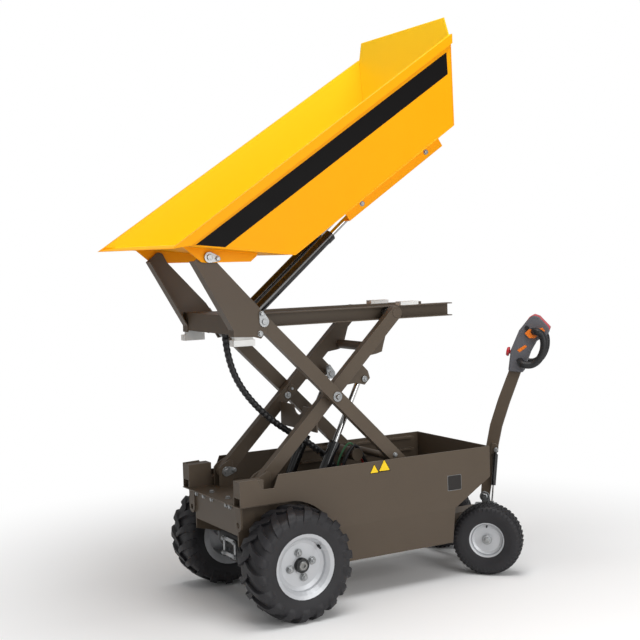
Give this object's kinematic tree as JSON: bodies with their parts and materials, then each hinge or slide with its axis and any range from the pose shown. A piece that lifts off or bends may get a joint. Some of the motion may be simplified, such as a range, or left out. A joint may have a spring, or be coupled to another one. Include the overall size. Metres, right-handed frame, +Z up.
{
  "type": "walk-behind electric high-tip dumper",
  "caption": "Walk-behind electric site dumper, its scissor lift half raised and its orange-yellow skip tipped forward, with a tiller and steered rear wheels",
  "frame": {"origin": "centre of the footprint on the ground", "axes": "+X forward (skip lip), +Y left, +Z up"},
  "size_m": [1.7918, 0.765, 2.1825],
  "materials": {
    "chassis_paint": "satin",
    "skip_paint": "satin",
    "zinc_steel": "satin",
    "tyre_rubber": "matte",
    "rim_silver": "satin",
    "drive_black": "satin",
    "battery_grey": "matte",
    "pack_black": "satin",
    "hose_rubber": "matte",
    "head_grey": "satin",
    "handle_black": "satin",
    "control_red": "gloss",
    "barrel_black": "gloss",
    "rod_chrome": "polished",
    "roller_steel": "satin",
    "pad_white": "satin"
  },
  "bodies": {
    "chassis": {"tub_side_left": "chassis_paint", "tub_side_right": "chassis_paint", "tub_floor": "chassis_paint", "front_deck": "chassis_paint", "frame_cheeks": "chassis_paint", "front_channels": "chassis_paint", "drive_axle": "drive_black", "battery_pack": "battery_grey", "hydraulic_pack": "pack_black", "rear_axle": "chassis_paint", "lift_hose": "hose_rubber"},
    "front_wheel_left": {"front_tyre_left": "tyre_rubber", "front_rim_left": "rim_silver"},
    "front_wheel_right": {"front_tyre_right": "tyre_rubber", "front_rim_right": "rim_silver"},
    "steering": {"steering_column": "zinc_steel"},
    "knuckle_left": {"rear_knuckle_left": "zinc_steel"},
    "knuckle_right": {"rear_knuckle_right": "zinc_steel"},
    "track_link": {"track_rod": "zinc_steel"},
    "rear_wheel_left": {"rear_tyre_left": "tyre_rubber", "rear_rim_left": "rim_silver"},
    "rear_wheel_right": {"rear_tyre_right": "tyre_rubber", "rear_rim_right": "rim_silver"},
    "tiller": {"tiller_tube": "chassis_paint", "tiller_head": "head_grey", "tiller_loops": "handle_black", "tiller_controls": "control_red"},
    "gas_spring_lower": {"gas_spring_rod": "rod_chrome"},
    "gas_spring_upper": {"gas_spring_barrel": "barrel_black"},
    "inner_arms": {"inner_arms": "chassis_paint", "inner_rollers": "roller_steel"},
    "outer_arms": {"outer_arms": "chassis_paint", "outer_rollers": "roller_steel"},
    "top_frame": {"top_rails": "chassis_paint", "top_brackets": "chassis_paint", "rest_pads": "pad_white"},
    "skip": {"skip_floor": "skip_paint", "skip_side_left": "skip_paint", "skip_side_right": "skip_paint", "skip_back": "skip_paint", "skip_brackets": "skip_paint"},
    "lift_cylinder": {"lift_barrels": "barrel_black"},
    "lift_piston": {"lift_rods": "rod_chrome"},
    "tip_cylinder": {"tip_barrels": "barrel_black"},
    "tip_piston": {"tip_rods": "rod_chrome"}
  },
  "joints": [
    {"name": "roll_front_left", "type": "hinge", "parent": "chassis", "child": "front_wheel_left", "pos_m": [0.4359, 0.3, 0.203], "axis": [0, 1, 0], "continuous": true},
    {"name": "roll_front_right", "type": "hinge", "parent": "chassis", "child": "front_wheel_right", "pos_m": [0.4359, -0.3, 0.203], "axis": [0, 1, 0], "continuous": true},
    {"name": "steer", "type": "hinge", "parent": "chassis", "child": "steering", "pos_m": [-0.6241, 0, 0.188], "axis": [0, 0, 1], "range_deg": [-9.6, 100.4]},
    {"name": "steer_knuckle_left", "type": "hinge", "parent": "chassis", "child": "knuckle_left", "pos_m": [-0.5341, 0.18, 0.142], "axis": [0, 0, 1], "range_deg": [-9.6, 100.4]},
    {"name": "steer_knuckle_right", "type": "hinge", "parent": "chassis", "child": "knuckle_right", "pos_m": [-0.5341, -0.18, 0.142], "axis": [0, 0, 1], "range_deg": [-9.6, 100.4]},
    {"name": "track_swing", "type": "hinge", "parent": "knuckle_left", "child": "track_link", "pos_m": [-0.57623, 0.22272, 0.134], "axis": [0, 0, 1], "range_deg": [-100.4, 9.6]},
    {"name": "roll_rear_left", "type": "hinge", "parent": "knuckle_left", "child": "rear_wheel_left", "pos_m": [-0.48426, 0.22915, 0.142], "axis": [0.712, 0.7022, 0], "continuous": true},
    {"name": "roll_rear_right", "type": "hinge", "parent": "knuckle_right", "child": "rear_wheel_right", "pos_m": [-0.58394, -0.22915, 0.142], "axis": [0.712, 0.7022, 0], "continuous": true},
    {"name": "tiller_tilt", "type": "hinge", "parent": "steering", "child": "tiller", "pos_m": [-0.64165, 0.0178, 0.262], "axis": [0.712, 0.7022, 0], "range_deg": [-60, 5]},
    {"name": "gas_spring_swing", "type": "hinge", "parent": "steering", "child": "gas_spring_lower", "pos_m": [-0.64277, 0.06024, 0.238], "axis": [0.712, 0.7022, 0], "range_deg": [-60.5, 5.84]},
    {"name": "gas_spring_stroke", "type": "slide", "parent": "gas_spring_lower", "child": "gas_spring_upper", "axis": [-0.0655, 0.0665, 0.9956], "range_m": [-0.0412, 0.0053]},
    {"name": "lift", "type": "hinge", "parent": "chassis", "child": "inner_arms", "pos_m": [0.4939, 0, 0.4755], "axis": [0, 1, 0], "range_deg": [-36.52, 0], "deforming": ["lift_hose"]},
    {"name": "scissor_cross", "type": "hinge", "parent": "inner_arms", "child": "outer_arms", "pos_m": [0.19311, 0, 0.77078], "axis": [0, 1, 0], "range_deg": [0, 73.05]},
    {"name": "scissor_top", "type": "hinge", "parent": "outer_arms", "child": "top_frame", "pos_m": [0.4939, 0, 1.06605], "axis": [0, 1, 0], "range_deg": [-36.52, 0]},
    {"name": "tip", "type": "hinge", "parent": "top_frame", "child": "skip", "pos_m": [0.7059, 0, 1.30095], "axis": [0, 1, 0], "range_deg": [-33.65, 10]},
    {"name": "lift_cylinder_swing", "type": "hinge", "parent": "chassis", "child": "lift_cylinder", "pos_m": [0.3409, 0, 0.2], "axis": [0, 1, 0], "range_deg": [-31.24, 1]},
    {"name": "lift_piston_stroke", "type": "slide", "parent": "lift_cylinder", "child": "lift_piston", "axis": [-0.4449, 0, 0.8956], "range_m": [-0.1885, 0.002]},
    {"name": "tip_cylinder_swing", "type": "hinge", "parent": "top_frame", "child": "tip_cylinder", "pos_m": [0.5259, 0, 1.01695], "axis": [0, 1, 0], "range_deg": [-37.53, 11.43]},
    {"name": "tip_piston_stroke", "type": "slide", "parent": "tip_cylinder", "child": "tip_piston", "axis": [-0.7649, 0, 0.6441], "range_m": [-0.1963, 0.0598]}
  ],
  "couplings": [
    {"joint": "steer_knuckle_left", "follows": "steer", "ratio": 1},
    {"joint": "steer_knuckle_right", "follows": "steer", "ratio": 1},
    {"joint": "track_swing", "follows": "steer", "ratio": -1},
    {"joint": "scissor_cross", "follows": "lift", "ratio": -2},
    {"joint": "scissor_top", "follows": "lift", "ratio": 1},
    {"joint": "lift_cylinder_swing", "follows": "lift", "ratio": 0.80189},
    {"joint": "lift_piston_stroke", "follows": "lift", "m_per_rad": 0.28613},
    {"joint": "tip_cylinder_swing", "follows": "tip", "ratio": 1.0426},
    {"joint": "tip_piston_stroke", "follows": "tip", "m_per_rad": 0.33092},
    {"joint": "gas_spring_swing", "follows": "tiller_tilt", "ratio": 0.9678},
    {"joint": "gas_spring_stroke", "follows": "tiller_tilt", "m_per_rad": 0.03729}
  ]
}
